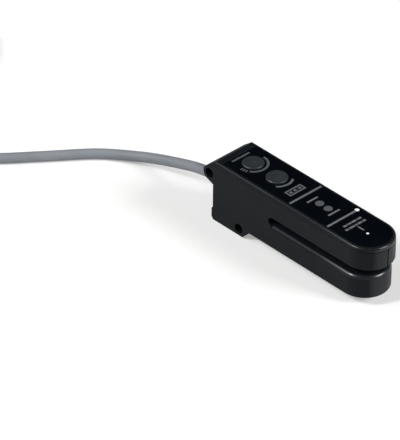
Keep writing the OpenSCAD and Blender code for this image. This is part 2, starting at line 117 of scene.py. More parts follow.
def addPiece(name, grids, material, uv=None):
    # one smooth piece on the housing, made of closed grids of points: rings x sides x 3
    points = np.concatenate([g.reshape(-1, 3) for g in grids])
    starts = np.cumsum([0] + [g.shape[0] * g.shape[1] for g in grids]).tolist()
    faces = [face for g, start in zip(grids, starts) for face in gridFaces(*g.shape[:2], start)]
    piece = addMesh(name, points, faces, material)
    mesh = piece.data
    mesh.polygons.foreach_set("use_smooth", np.ones(len(faces), dtype=bool))
    if uv is not None:
        corners = np.zeros(len(mesh.loops), dtype=np.int32)
        mesh.loops.foreach_get("vertex_index", corners)
        mesh.uv_layers.new(name="lay").data.foreach_set("uv", uv[corners].ravel())
    mesh.set_sharp_from_angle(angle=np.radians(sharpFrom))
    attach(piece, "housing")
    return piece


def tubePoints(line, radius, sides):
    # a circle carried along a line: centre + radius * (cos * sideways + sin * upwards), square to the line
    along = np.gradient(line, axis=0)
    along /= np.linalg.norm(along, axis=1, keepdims=True)
    across = np.cross(along, [0, 0, 1])
    across /= np.linalg.norm(across, axis=1, keepdims=True)
    upward = np.cross(across, along)
    turn = np.linspace(0, 2 * np.pi, sides, endpoint=False)[None, :, None]
    reach = np.broadcast_to(radius, len(line))[:, None, None]
    return line[:, None] + reach * (np.cos(turn) * across[:, None] + np.sin(turn) * upward[:, None])


def distances(line):
    # how far along the line each of its points lies
    return np.concatenate([[0], np.cumsum(np.linalg.norm(np.diff(line, axis=0), axis=1))])


def smoothLine(points, step):
    # natural cubic spline through the points, with the distance between them as its parameter
    knots = distances(points)
    gap = np.diff(knots)
    count = len(points)
    system = np.eye(count)
    inner = np.arange(1, count - 1)
    system[inner, inner - 1], system[inner, inner + 1] = gap[:-1], gap[1:]
    system[inner, inner] = 2 * (gap[:-1] + gap[1:])
    slope = np.diff(points, axis=0) / gap[:, None]
    bend = np.linalg.solve(system, np.pad(6 * np.diff(slope, axis=0), ((1, 1), (0, 0))))
    s = np.linspace(0, knots[-1], int(knots[-1] / step))
    k = np.clip(np.searchsorted(knots, s, side="right") - 1, 0, count - 2)
    u, w, g = (s - knots[k])[:, None], (knots[k + 1] - s)[:, None], gap[k][:, None]
    return ((bend[k] * w ** 3 + bend[k + 1] * u ** 3) / (6 * g)
            + (points[k] / g - bend[k] * g / 6) * w + (points[k + 1] / g - bend[k + 1] * g / 6) * u)


def smoothStep(x):
    # 3 x squared - 2 x cubed, held at 0 before 0 and at 1 after 1
    x = np.clip(x, 0, 1)
    return x * x * (3 - 2 * x)


def inFrame(points):
    # from mm, counted from the rear face, to metres in the frame
    return np.asarray(points, dtype=float) * mm + [rearX, 0, 0]


# Shared material work

def linear(hexText):
    # sRGB hex to linear colour
    c = np.array([int(hexText[i:i + 2], 16) for i in (1, 3, 5)]) / 255
    return (*np.where(c <= 0.04045, c / 12.92, ((c + 0.055) / 1.055) ** 2.4).tolist(), 1)


def perMetre(sizeMm):
    return 1 / (sizeMm * mm)  # texture scale for a pattern of that size


def addNode(tree, kind, inputs=None, **settings):
    # one node: its settings, then each input linked to a socket or set to a value
    node = tree.nodes.new(kind)
    for key, value in settings.items():
        setattr(node, key, value)
    for key, value in (inputs or {}).items():
        if isinstance(value, bpy.types.NodeSocket):
            tree.links.new(value, node.inputs[key])
        else:
            node.inputs[key].default_value = value
    return node


def newMaterial(name):
    material = bpy.data.materials.new(name)
    material.use_nodes = True
    material.node_tree.nodes.clear()
    return material, material.node_tree


def shade(tree, inputs):
    # the surface itself, with a value or a socket for each input
    shader = addNode(tree, "ShaderNodeBsdfPrincipled", inputs)
    addNode(tree, "ShaderNodeOutputMaterial", {"Surface": shader.outputs[0]})


# what all the moulded finishes share
mouldLook = {
    "driftSpan": (0.3, 0.7),  # part of the drift's noise over which the gloss runs
    "wearAndSheenSpan": (0.995, 0.8),  # cosine between a face and its rounded edge, from none to the full paler edge, partly wear and partly painted highlight
    "edgeSamples": 6,
    "glowMm": 1,  # how far light wanders under the skin
    "sheenRough": 0.5,
    "polishRough": 0.3,  # of the polish that rubbing leaves
}


def plastic(name, look):
    # a moulded finish: slow drifts of colour and gloss, a fine grain, and rounded edges painted paler, partly
    # wear and partly painted highlight;
    # grains are drawn a few times coarser than real ones, so that they show
    material, tree = newMaterial(name)
    place = addNode(tree, "ShaderNodeTexCoord").outputs["Object"]
    drift = addNode(tree, "ShaderNodeTexNoise", {
        "Vector": place, "Scale": perMetre(look["driftMm"]), "Detail": 3}).outputs[0]
    grain = addNode(tree, "ShaderNodeTexNoise", {
        "Vector": place, "Scale": perMetre(look["grainMm"]), "Detail": 2}).outputs[0]
    tone = addNode(tree, "ShaderNodeMix", {
        "Factor": drift, "A": linear(look["dark"]), "B": linear(look["light"])}, data_type="RGBA")
    softEdge = addNode(tree, "ShaderNodeBevel", {
        "Radius": look["edgeMm"] * mm}, samples=mouldLook["edgeSamples"]).outputs[0]
    faceNormal = addNode(tree, "ShaderNodeNewGeometry").outputs["Normal"]
    facing = addNode(tree, "ShaderNodeVectorMath", {0: softEdge, 1: faceNormal}, operation="DOT_PRODUCT")
    # the paler rounded edges: partly wear, partly a painted highlight that every edge gets whatever the light
    wornAndSheen = addNode(tree, "ShaderNodeMapRange", {
        "Value": facing.outputs["Value"], "To Min": 0, "To Max": look["wearAndSheen"],
        "From Min": mouldLook["wearAndSheenSpan"][0], "From Max": mouldLook["wearAndSheenSpan"][1]})
    colour = addNode(tree, "ShaderNodeMix", {
        "Factor": wornAndSheen.outputs[0], "A": tone.outputs[2], "B": linear(look["edge"])}, data_type="RGBA")
    gloss = addNode(tree, "ShaderNodeMapRange", {
        "Value": drift, "To Min": look["rough"][0], "To Max": look["rough"][1],
        "From Min": mouldLook["driftSpan"][0], "From Max": mouldLook["driftSpan"][1]})
    bump = addNode(tree, "ShaderNodeBump", {
        "Height": grain, "Normal": softEdge, "Strength": 1, "Distance": look["grainDeepMm"] * mm})
    shade(tree, {
        "Base Color": colour.outputs[2], "Roughness": gloss.outputs[0], "Normal": bump.outputs[0],
        "Specular IOR Level": look["specular"], "IOR": look.get("ior", 1.5),
        "Subsurface Weight": look.get("glow", 0), "Subsurface Scale": mouldLook["glowMm"] * mm,
        "Sheen Weight": look.get("sheen", 0), "Sheen Roughness": mouldLook["sheenRough"],
        "Coat Roughness": mouldLook["polishRough"]})
    return material


def clouded(name, look):
    # metal or clear stuff: one noise takes the colour from dark to light and the gloss with it;
    # it is drawn out along "stretch" and stands up by "deepMm", where the look has them
    material, tree = newMaterial(name)
    place = addNode(tree, "ShaderNodeTexCoord").outputs["Object"]
    if "stretch" in look:
        place = addNode(tree, "ShaderNodeMapping", {"Vector": place, "Scale": look["stretch"]}).outputs[0]
    cloud = addNode(tree, "ShaderNodeTexNoise", {
        "Vector": place, "Scale": perMetre(look["cloudMm"]), "Detail": look["detail"]}).outputs[0]
    tone = addNode(tree, "ShaderNodeMix", {
        "Factor": cloud, "A": linear(look["dark"]), "B": linear(look["light"])}, data_type="RGBA")
    gloss = addNode(tree, "ShaderNodeMapRange", {
        "Value": cloud, "To Min": look["rough"][0], "To Max": look["rough"][1]})
    inputs = {"Base Color": tone.outputs[2], "Roughness": gloss.outputs[0], **look["shader"]}
    if "deepMm" in look:
        bump = addNode(tree, "ShaderNodeBump", {
            "Height": cloud, "Strength": 1, "Distance": look["deepMm"] * mm})
        inputs["Normal"] = bump.outputs[0]
    shade(tree, inputs)
    return material


# Cable: one smooth line from the board pocket, through the gland, along the floor and into a tied coil

cableLook = {
    "diameter": 5.2,
    "length": 2000,
    "sides": 20,
    "step": 1.5,  # mm between rings
    "exitHeight": 13.5,  # mm above the base
    "route": [  # mm from the rear face
        (7, 0, 13.5), (-4, 0, 13.5), (-13, 0, 13.5), (-22, 0, 12.2), (-32, -0.5, 9.7), (-42, -2, 7.3),
        (-52, -4.6, 5.2), (-61, -8.4, 3.6), (-68, -12.6, 2.8), (-74, -17.8, 2.6), (-80, -25, 2.6),
        (-87, -34.4, 2.6), (-95, -44.8, 2.6), (-101, -52.5, 2.6), (-107.7, -59.3, 2.6),
        (-115.7, -64.5, 2.6), (-124.7, -67.7, 2.6), (-134.2, -68.8, 2.6), (-150, -68.8, 2.6),
        (-167, -68.8, 2.6), (-185.5, -68.8, 2.8),
    ],
    "coilAt": (-205, -33.6),
    "coilRadius": 30,  # of the middle column of turns
    "coilBase": 0.8,  # the tie's thickness lies under it
    "arrival": 270,  # degrees around the coil where the run joins it, then clockwise
    "fullTurns": 9,
    "columns": [0, 1, 2, 2, 1, 0, 0, 1, 2, 2, 1],  # of each turn; 0 is the outer column
    "layers": [0, 0, 0, 1, 1, 1, 2, 2, 2, 3, 3],
    "shift": 0.26,  # share of a turn in which the cable steps to its next place
    "climbs": [(3, -1), (6, 1), (9, -1)],  # turns that end in a climb, swung inwards (-1) or outwards
    "bulge": 2.4,  # mm that a climb swings clear of the turn below
    "bulgeReach": 1.1,  # how long the swing lasts to each side of its middle, in shifts
    "jacketEnd": 147,  # degrees around the coil
    "pointsPerTurn": 24,
}


def onCoil(degrees, radius, height):
    # the coil's middle + radius * (cos, sin), at that height
    a = np.radians(degrees)
    centre = cableLook["coilAt"]
    return np.stack([centre[0] + radius * np.cos(a), centre[1] + radius * np.sin(a), height], axis=-1)


def coilLine(look):
    # angle falls by 360 a turn; column and layer hold for most of a turn, then ease to the next
    last, shift = look["fullTurns"], look["shift"]
    turns = last + (look["arrival"] - look["jacketEnd"]) / 360
    t = np.linspace(0, turns, int(turns * look["pointsPerTurn"]))
    k = np.floor(t).astype(int)
    columns, layers = np.array(look["columns"]), np.array(look["layers"])
    ease = smoothStep((t - k - 1 + shift) / shift)
    layer = layers[k] + (layers[k + 1] - layers[k]) * ease
    # the end takes all of its part turn to cross
    ease = np.where(k == last, smoothStep((t - last) / (turns - last)), ease)
    column = columns[k] + (columns[k + 1] - columns[k]) * ease
    # each climb swings the radius by a cosine squared
    climb, side = np.array(look["climbs"]).T[:, :, None]
    near = np.clip(np.abs(t - climb + shift / 2) / (look["bulgeReach"] * shift), 0, 1)
    swing = look["bulge"] * (side * np.cos(np.pi * near / 2) ** 2).sum(axis=0)
    radius = look["coilRadius"] + look["diameter"] * (1 - column) + swing
    height = look["coilBase"] + look["diameter"] * (layer + 0.5)
    return onCoil(look["arrival"] - 360 * t, radius, height)


# PVC jacket: extruded, matt, a little waxy, with the twist of the cores just telling through it
jacketLook = {
    "dark": "#767A80",
    "light": "#8D9298",
    "scuff": "#A8ACB1",
    "scuffSpan": (0.62, 0.8),  # part of the grain's noise that is scuffed
    "scuffMost": 0.35,
    "rough": (0.48, 0.64),
    "cores": 4,
    "layMm": 46,  # length in which the cores twist once around
    "layDeepMm": 0.03,
    "driftMm": 14,
    "grainMm": 0.9,  # drawn coarser than the real skin, so that it shows
    "grainDeepMm": 0.04,
}


def pvcJacket(look):
    material, tree = newMaterial("pvcJacket")
    coords = addNode(tree, "ShaderNodeTexCoord").outputs
    lay = addNode(tree, "ShaderNodeSeparateXYZ", {"Vector": coords["UV"]}).outputs
    turned = addNode(tree, "ShaderNodeMath", {
        0: lay["Y"], 1: perMetre(look["layMm"]), 2: lay["X"]}, operation="MULTIPLY_ADD")
    phase = addNode(tree, "ShaderNodeMath", {
        0: turned.outputs[0], 1: 2 * np.pi * look["cores"]}, operation="MULTIPLY")
    twist = addNode(tree, "ShaderNodeMath", {0: phase.outputs[0]}, operation="SINE")
    drift = addNode(tree, "ShaderNodeTexNoise", {
        "Vector": coords["Object"], "Scale": perMetre(look["driftMm"]), "Detail": 4}).outputs[0]
    grain = addNode(tree, "ShaderNodeTexNoise", {
        "Vector": coords["Object"], "Scale": perMetre(look["grainMm"]), "Detail": 2}).outputs[0]
    tone = addNode(tree, "ShaderNodeMix", {
        "Factor": drift, "A": linear(look["dark"]), "B": linear(look["light"])}, data_type="RGBA")
    rubbed = addNode(tree, "ShaderNodeMapRange", {
        "Value": grain, "From Min": look["scuffSpan"][0], "From Max": look["scuffSpan"][1],
        "To Min": 0, "To Max": look["scuffMost"]})
    colour = addNode(tree, "ShaderNodeMix", {
        "Factor": rubbed.outputs[0], "A": tone.outputs[2], "B": linear(look["scuff"])}, data_type="RGBA")
    gloss = addNode(tree, "ShaderNodeMapRange", {
        "Value": drift, "To Min": look["rough"][0], "To Max": look["rough"][1]})
    ropes = addNode(tree, "ShaderNodeBump", {
        "Height": twist.outputs[0], "Strength": 1, "Distance": look["layDeepMm"] * mm})
    skin = addNode(tree, "ShaderNodeBump", {
        "Height": grain, "Normal": ropes.outputs[0], "Strength": 1, "Distance": look["grainDeepMm"] * mm})
    shade(tree, {
        "Base Color": colour.outputs[2], "Roughness": gloss.outputs[0], "Normal": skin.outputs[0],
        "Specular IOR Level": 0.3, "IOR": 1.53, "Sheen Weight": 0.06, "Sheen Roughness": 0.4})
    return material


def makeCable(look):
    # UV holds the share of the way around and the metres along, for the twist of the cores
    route = np.array(look["route"], dtype=float)
    line = inFrame(smoothLine(np.vstack([route, coilLine(look)]), look["step"]))
    points = tubePoints(line, look["diameter"] / 2 * mm, look["sides"])
    around, run = np.arange(look["sides"]) / look["sides"], distances(line)
    uv = np.stack(np.broadcast_arrays(around, run[:, None]), axis=-1).reshape(-1, 2)
    cable = addPiece("cable", [points], pvcJacket(jacketLook), uv)
    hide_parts("cable_run", "cable_coil", "cable_tail")
    print("cable: %.3f m" % run[-1])
    return cable, line


cable, cableLine = makeCable(cableLook)


# Leads: four cores out of the jacket's end, spread side by side on the coil, with crimped tips

leadLook = {
    "diameter": 1.4,
    "colours": {  # where the colour is thin, and where it is full
        "brown": ("#623719", "#754A2D"), "white": ("#DAD8CE", "#ECEAE4"),
        "blue": ("#1C4795", "#2F60B5"), "black": ("#141416", "#242427")},
    "offset": 0.85,  # mm from the jacket's middle
    "spread": 2.6,  # mm between the leads at their ends
    "gap": 1.2,  # degrees after the jacket's end
    "arc": 38,
    "inside": 0.06,  # share of the arc by which a lead starts early, inside the jacket
    "layersBelow": 3,  # of the coil, on which the leads lie
    "rings": 60,
    "sides": 14,
}
tipLook = {
    "diameter": 0.9,
    "arc": 12,  # degrees of bare tip
    "overlap": 0.01,  # share of the lead's arc that the tip reaches back into it
    "crimps": 5,  # pressed ridges along a tip
    "crimpDeep": 0.14,  # share of the radius
    "closing": (0.94, 0.6),  # share of the tip after which it closes in, and of the section that goes
    "rings": 48,
}


def leadLine(index, u):
    # angle runs on around the coil; spacing widens and height falls by a smooth step in the first half
    coilTop = cableLook["coilBase"] + leadLook["layersBelow"] * cableLook["diameter"]
    rest = coilTop + leadLook["diameter"] / 2
    side = -1 if index % 2 == 0 else 1  # they leave the jacket low and high by turns
    high = coilTop + cableLook["diameter"] / 2 + side * leadLook["offset"]
    fall = smoothStep(2 * u)
    apart = leadLook["offset"] + (leadLook["spread"] - leadLook["offset"]) * fall
    middle = (len(leadLook["colours"]) - 1) / 2
    radius = cableLook["coilRadius"] + (index - middle) * apart
    degrees = cableLook["jacketEnd"] - leadLook["gap"] - leadLook["arc"] * u
    return inFrame(onCoil(degrees, radius, high + (rest - high) * fall))


# PVC core insulation: extruded thin and glossy, with a faint unevenness of the colour
coreMaterials = {
    name: plastic("pvcCore" + name.capitalize(), {
        "dark": thin, "light": full, "edge": full, "wearAndSheen": 0.3, "edgeMm": 0.1, "driftMm": 3, "grainMm": 0.6,
        "grainDeepMm": 0.012, "rough": (0.3, 0.42), "specular": 0.5, "ior": 1.53})
    for name, (thin, full) in leadLook["colours"].items()
}

# tinned copper: dipped, so dull silver with small smears of brighter tin
tin = clouded("tinnedCopper", {
    "dark": "#9A9EA1", "light": "#D3D6D8", "cloudMm": 0.5, "detail": 5, "deepMm": 0.01,
    "rough": (0.28, 0.45), "shader": {"Metallic": 1}})


def makeLeads(look):
    pieces = []
    for index, name in enumerate(look["colours"]):
        line = leadLine(index, np.linspace(-look["inside"], 1, look["rings"]))
        points = tubePoints(line, look["diameter"] / 2 * mm, look["sides"])
        lead = addPiece("lead." + name, [points], coreMaterials[name])
        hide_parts("lead_" + name)
        pieces.append(lead)
    return pieces


def makeTips(look):
    # a tip is a tube whose radius dips at each crimp and closes in at its end
    w = np.linspace(0, 1, look["rings"])
    start, lost = look["closing"]
    reach = look["diameter"] / 2 * mm * (1 - look["crimpDeep"] * np.sin(np.pi * look["crimps"] * w) ** 4)
    reach *= np.sqrt(1 - lost * smoothStep((w - start) / (1 - start)))
    u = 1 - look["overlap"] + (look["arc"] / leadLook["arc"] + look["overlap"]) * w
    ends = [tubePoints(leadLine(i, u), reach, leadLook["sides"]) for i in range(len(leadLook["colours"]))]
    tips = addPiece("leadTips", ends, tin)
    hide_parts("lead_ferrules")
    return tips


leads = [*makeLeads(leadLook), makeTips(tipLook)]
print("leads:", len(leads), "pieces")


# Label print: screen ink that stands a little proud of the film

printLook = {
    "inkMm": 0.03,
    "sinkMm": 0.01,  # how far the ink starts under the film's face
    "bars": [  # X from the rear face and Y of the middle, then the size along X and along Y
        (6.3, -0.8, 1.1, 11.2), (48.5, 0, 1.2, 20.4), (53.4, -0.5, 1.0, 6.8), (67.3, -0.3, 1.0, 7.2),
        (73.1, -1.2, 1.2, 18.4), (84.4, 0, 3.9, 0.8),
        (42.6, -3.7, 1.3, 1.7), (42.6, -0.9, 1.3, 1.7), (42.6, 1.9, 1.3, 1.7)],
    "frame": (42.6, -0.9, 4.2, 10.2, 0.8),  # a box: X, Y, both sizes, and the width of its line
    "caps": {"rear": 13.8, "front": 29.6},  # X of their middles
    "arcs": [  # the cap that it goes around, inner and outer radius, from and to in degrees
        ("rear", 6.4, 7.6, 92, -58), ("rear", 6.3, 8.1, -66, -72), ("rear", 6.3, 8.1, -77, -83),
        ("rear", 6.3, 8.1, -88, -94), ("front", 6.8, 8.0, 38, -48)],
    "dashes": [  # X, size along X, lengths of the blocks to each other, from and to in Y
        (78.3, 1.2, (4, 2, 3, 5, 2, 4), -5.4, 6.4), (81.0, 1.2, (3, 5, 2, 4, 3), -6.6, 6.6)],
    "dashGap": 0.45,
    "dots": [(73.0, 8.9, 1.1), (89.3, -0.6, 0.66)],  # X, Y and radius
    "dotEnd": 0.03,  # radians left off at a dot's two ends, where its edges would meet
    "roundPoints": 40,  # along an arc or a dot
}


def strip(left, right):
    # a plate between two edge lines of equal length, from just under the film's face to the ink's top
    rim = np.stack([left, right, right, left], axis=1) * mm + [rearX, 0]
    low, high = filmZ - printLook["sinkMm"] * mm, filmZ + printLook["inkMm"] * mm
    level = np.broadcast_to(np.array([low, low, high, high])[None, :, None], (len(rim), 4, 1))
    return np.concatenate([rim, level], axis=-1)


def bar(x, y, wide, tall):
    # a plate between two straight edges across the label
    left, right, near, far = x - wide / 2, x + wide / 2, y - tall / 2, y + tall / 2
    return strip([(left, near), (left, far)], [(right, near), (right, far)])


def arc(cap, inner, outer, start, stop):
    # a plate between two circles around a cap: its middle + radius * (cos, sin)
    a = np.radians(np.linspace(start, stop, printLook["roundPoints"]))
    ray = np.stack([np.cos(a), np.sin(a)], axis=-1)
    middle = np.array([printLook["caps"][cap], 0])
    return strip(middle + inner * ray, middle + outer * ray)


def dot(x, y, radius):
    # a plate between the two halves of a circle
    a = np.linspace(printLook["dotEnd"], np.pi - printLook["dotEnd"], printLook["roundPoints"])
    return strip(np.stack([x - radius * np.sin(a), y - radius * np.cos(a)], axis=-1),
                 np.stack([x + radius * np.sin(a), y - radius * np.cos(a)], axis=-1))


def frameBars(x, y, wide, tall, line):
    # a box drawn with four bars, the upright ones between the other two
    out, up = (wide - line) / 2, (tall - line) / 2
    return ([bar(x, y + side * up, wide, line) for side in (-1, 1)]
            + [bar(x + side * out, y, line, tall - 2 * line) for side in (-1, 1)])


def dashRow(x, wide, cells, start, stop):
    # a row of blocks with a narrow space between them, each a little different in length
    edges = np.cumsum([0, *cells]) / sum(cells) * (stop - start) + start
    return [bar(x, (a + b) / 2, wide, b - a - printLook["dashGap"]) for a, b in zip(edges[:-1], edges[1:])]


# screen ink: thin, even and flat, with pinholes and a dusting of the film's black between the grains
inkLook = {
    "grey": ("#74777B", 0.55),  # colour, and how far the pinholes thin it
    "white": ("#EFEFED", 0.1),
    "thin": "#35383C",
    "pinMm": 0.5,  # drawn coarser than real pinholes, so that they show
    "pinSpan": (0.35, 0.7),  # part of their noise over which the ink thins
    "pinDeepMm": 0.01,
    "driftMm": 5,
    "rough": (0.5, 0.7),
    "rub": 0.6,  # how far fingers have rubbed it near the caps
    "rubMm": (20, 62),  # from the rear face, where that fades out
}


def screenInk(name, tint, thinned):
    material, tree = newMaterial(name)
    place = addNode(tree, "ShaderNodeTexCoord").outputs["Object"]
    pins = addNode(tree, "ShaderNodeTexNoise", {
        "Vector": place, "Scale": perMetre(inkLook["pinMm"]), "Detail": 2}).outputs[0]
    drift = addNode(tree, "ShaderNodeTexNoise", {"Vector": place, "Scale": perMetre(inkLook["driftMm"])})
    cover = addNode(tree, "ShaderNodeMapRange", {
        "Value": pins, "From Min": inkLook["pinSpan"][0], "From Max": inkLook["pinSpan"][1],
        "To Min": 0, "To Max": thinned})
    fresh = addNode(tree, "ShaderNodeMix", {
        "Factor": cover.outputs[0], "A": linear(tint), "B": linear(inkLook["thin"])}, data_type="RGBA")
    along = addNode(tree, "ShaderNodeSeparateXYZ", {"Vector": place}).outputs["X"]
    nearCaps, clear = (rearX + x * mm for x in inkLook["rubMm"])
    rubbed = addNode(tree, "ShaderNodeMapRange", {
        "Value": along, "From Min": nearCaps, "From Max": clear, "To Min": inkLook["rub"], "To Max": 0})
    colour = addNode(tree, "ShaderNodeMix", {
        "Factor": rubbed.outputs[0], "A": fresh.outputs[2], "B": linear(inkLook["thin"])}, data_type="RGBA")
    gloss = addNode(tree, "ShaderNodeMapRange", {
        "Value": drift.outputs[0], "To Min": inkLook["rough"][0], "To Max": inkLook["rough"][1]})
    bump = addNode(tree, "ShaderNodeBump", {
        "Height": pins, "Strength": 1, "Distance": inkLook["pinDeepMm"] * mm})
    shade(tree, {
        "Base Color": colour.outputs[2], "Roughness": gloss.outputs[0], "Normal": bump.outputs[0],
        "Specular IOR Level": 0.2, "IOR": 1.48})
    return material


def makePrint(look):
    grey = [bar(*values) for values in look["bars"]] + [arc(*values) for values in look["arcs"]]
    grey += frameBars(*look["frame"]) + [dash for row in look["dashes"] for dash in dashRow(*row)]
    white = [dot(*values) for values in look["dots"]]
    addPiece("printGrey", grey, screenInk("screenInkGrey", *inkLook["grey"]))
    addPiece("printWhite", white, screenInk("screenInkWhite", *inkLook["white"]))
    print("print:", len(grey) + len(white), "marks")


makePrint(printLook)


# Finishes of the frame's own nodes

# glass-filled polyamide: moulded against an eroded tool, so black, matt and finely grained, with paler edges
# that are partly wear and partly painted highlight
polyamide = plastic("glassFilledPolyamide", {
    "dark": "#0E1215", "light": "#161B1F", "edge": "#34393D", "wearAndSheen": 0.5, "edgeMm": 0.35, "driftMm": 11,
    "grainMm": 0.6, "grainDeepMm": 0.012, "rough": (0.44, 0.54), "specular": 0.082})

# the same polyamide where it is rubbed: webs and hands have taken the grain off the slot's lower lip and the
# lid's rim, so they shine towards the mouth, and hands have polished the jaws' tips; lip and rim are also
# painted paler, a painted highlight
rubAndHighlightLook = {
    "bands": [(14.9, 17.1, 1), (32.1, 33.6, 0.45)],  # from and to, mm above the base, and how far rubbed and painted paler
    "leanFrom": (0.1, 0.5),  # Z of a face's normal, from upright to leaning
    "leanTo": (0.98, 0.85),  # and from flat to leaning
    # painted highlight: the paler colour that the rubbed lip and rim are painted with
    "tint": "#1A1E22",
    "rough": 0.22,
    "polish": (0.05, 1.0),
    "mouth": (22, 44),  # mm along the frame, where the polish grows
    "closed": (-6.5, -9),  # and where it grows again towards the slot's closed end
    "endPolish": 0.3,
    "noseFrom": 40,  # mm along the frame, past which the jaws' upright tips are polished by hands
    "tipFacing": (0.8, 0.93),  # X of a face's normal, over which the tips' polish grows
    "tipPolish": (0.32, 0.8),  # of the tips below the lid's seam, and of the lid's own tip
    "rearFacing": (-0.1, -0.3),  # and over which a slope comes to look to the rear
    "rearRough": 0.9,  # slopes that look to the rear keep the tool's coarse grain
    "fadeMm": 0.4,
}


def rubEdgesAndPaintHighlight(material, look):
    tree = material.node_tree
    shader = next(n for n in tree.nodes if n.type == "BSDF_PRINCIPLED")
    coords = addNode(tree, "ShaderNodeTexCoord").outputs
    place = addNode(tree, "ShaderNodeSeparateXYZ", {"Vector": coords["Object"]}).outputs
    face = addNode(tree, "ShaderNodeSeparateXYZ", {"Vector": coords["Normal"]}).outputs
    # rubbed = in one of the bands of height, and on a face that leans between upright and flat
    leans = addNode(tree, "ShaderNodeMapRange", {
        "Value": face["Z"], "From Min": look["leanFrom"][0], "From Max": look["leanFrom"][1]})
    notFlat = addNode(tree, "ShaderNodeMapRange", {
        "Value": face["Z"], "From Min": look["leanTo"][0], "From Max": look["leanTo"][1]})
    rubbed = addNode(tree, "ShaderNodeMath", {
        0: leans.outputs[0], 1: notFlat.outputs[0]}, operation="MULTIPLY")
    inBands = 0
    for low, high, most in look["bands"]:
        middle, half = (low + high) / 2 * mm, (high - low) / 2 * mm
        away = addNode(tree, "ShaderNodeMath", {0: place["Z"], 1: middle}, operation="SUBTRACT")
        apart = addNode(tree, "ShaderNodeMath", {0: away.outputs[0]}, operation="ABSOLUTE")
        inBand = addNode(tree, "ShaderNodeMapRange", {
            "Value": apart.outputs[0], "From Min": half + look["fadeMm"] * mm, "From Max": half,
            "To Max": most})
        inBands = addNode(tree, "ShaderNodeMath", {
            0: inBand.outputs[0], 1: inBands}, operation="MAXIMUM").outputs[0]
    share = addNode(tree, "ShaderNodeMath", {
        0: rubbed.outputs[0], 1: inBands}, operation="MULTIPLY").outputs[0]
    # the rubbed share is painted paler with the tint: a painted highlight on the lip and the lid's rim
    colour = addNode(tree, "ShaderNodeMix", {
        "Factor": share, "A": shader.inputs["Base Color"].links[0].from_socket,
        "B": linear(look["tint"])}, data_type="RGBA")
    smooth = addNode(tree, "ShaderNodeMix", {
        "Factor": share, "A": shader.inputs["Roughness"].links[0].from_socket, "B": look["rough"]})
    # its polish grows towards the mouth, and a little at the closed end
    atMouth = addNode(tree, "ShaderNodeMapRange", {
        "Value": place["X"], "From Min": look["mouth"][0] * mm, "From Max": look["mouth"][1] * mm,
        "To Min": look["polish"][0], "To Max": look["polish"][1]})
    atEnd = addNode(tree, "ShaderNodeMapRange", {
        "Value": place["X"], "From Min": look["closed"][0] * mm, "From Max": look["closed"][1] * mm,
        "To Max": look["endPolish"]})
    grown = addNode(tree, "ShaderNodeMath", {
        0: atMouth.outputs[0], 1: atEnd.outputs[0]}, operation="MAXIMUM")
    polish = addNode(tree, "ShaderNodeMath", {0: share, 1: grown.outputs[0]}, operation="MULTIPLY")
    # handled = on the nose and facing ahead, more so above the seam
    ahead = addNode(tree, "ShaderNodeMapRange", {
        "Value": face["X"], "From Min": look["tipFacing"][0], "From Max": look["tipFacing"][1]})
    onNose = addNode(tree, "ShaderNodeMath", {
        0: place["X"], 1: look["noseFrom"] * mm}, operation="GREATER_THAN")
    onTip = addNode(tree, "ShaderNodeMath", {
        0: ahead.outputs[0], 1: onNose.outputs[0]}, operation="MULTIPLY")
    above = addNode(tree, "ShaderNodeMapRange", {
        "Value": place["Z"], "From Min": seamZ, "From Max": seamZ + look["fadeMm"] * mm,
        "To Min": look["tipPolish"][0], "To Max": look["tipPolish"][1]})
    handled = addNode(tree, "ShaderNodeMath", {
        0: onTip.outputs[0], 1: above.outputs[0]}, operation="MULTIPLY")
    shine = addNode(tree, "ShaderNodeMath", {
        0: polish.outputs[0], 1: handled.outputs[0]}, operation="MAXIMUM")
    behind = addNode(tree, "ShaderNodeMapRange", {
        "Value": face["X"], "From Min": look["rearFacing"][0], "From Max": look["rearFacing"][1]})
    gloss = addNode(tree, "ShaderNodeMix", {
        "Factor": behind.outputs[0], "A": smooth.outputs[0], "B": look["rearRough"]})
    tree.links.new(colour.outputs[2], shader.inputs["Base Color"])
    tree.links.new(gloss.outputs[0], shader.inputs["Roughness"])
    tree.links.new(shine.outputs[0], shader.inputs["Coat Weight"])


rubEdgesAndPaintHighlight(polyamide, rubAndHighlightLook)

# silicone bead: cured in place, dead black and slightly rubbery
silicone = plastic("siliconeBead", {
    "dark": "#08090A", "light": "#101214", "edge": "#1A1C1E", "wearAndSheen": 0.2, "edgeMm": 0.1, "driftMm": 3,
    "grainMm": 0.5, "grainDeepMm": 0.03, "rough": (0.6, 0.75), "specular": 0.25, "ior": 1.41, "sheen": 0.05})

# polyester film: blue-black, with a fine velvet texture that kills the reflection
polyester = plastic("polyesterFilm", {
    "dark": "#010308", "light": "#03060C", "edge": "#1A1E26", "wearAndSheen": 0.5, "edgeMm": 0.15, "driftMm": 9,
    "grainMm": 0.5, "grainDeepMm": 0.008, "rough": (0.4, 0.5), "specular": 0.08})

# satin ABS: dark grey caps, with rims painted a little paler, partly worn by fingers and partly painted
# highlight
satinAbs = plastic("satinAbs", {
    "dark": "#24282B", "light": "#303438", "edge": "#3C4145", "wearAndSheen": 0.5, "edgeMm": 0.3, "driftMm": 4,
    "grainMm": 0.5, "grainDeepMm": 0.015, "rough": (0.36, 0.5), "specular": 0.35})

# acetal: ivory, waxy and faintly see-through
acetal = plastic("acetal", {
    "dark": "#C4BDAC", "light": "#D6D0C0", "edge": "#E6E1D3", "wearAndSheen": 0.5, "edgeMm": 0.1, "driftMm": 2,
    "grainMm": 0.4, "grainDeepMm": 0.005, "rough": (0.28, 0.38), "specular": 0.45, "ior": 1.48, "glow": 0.2})

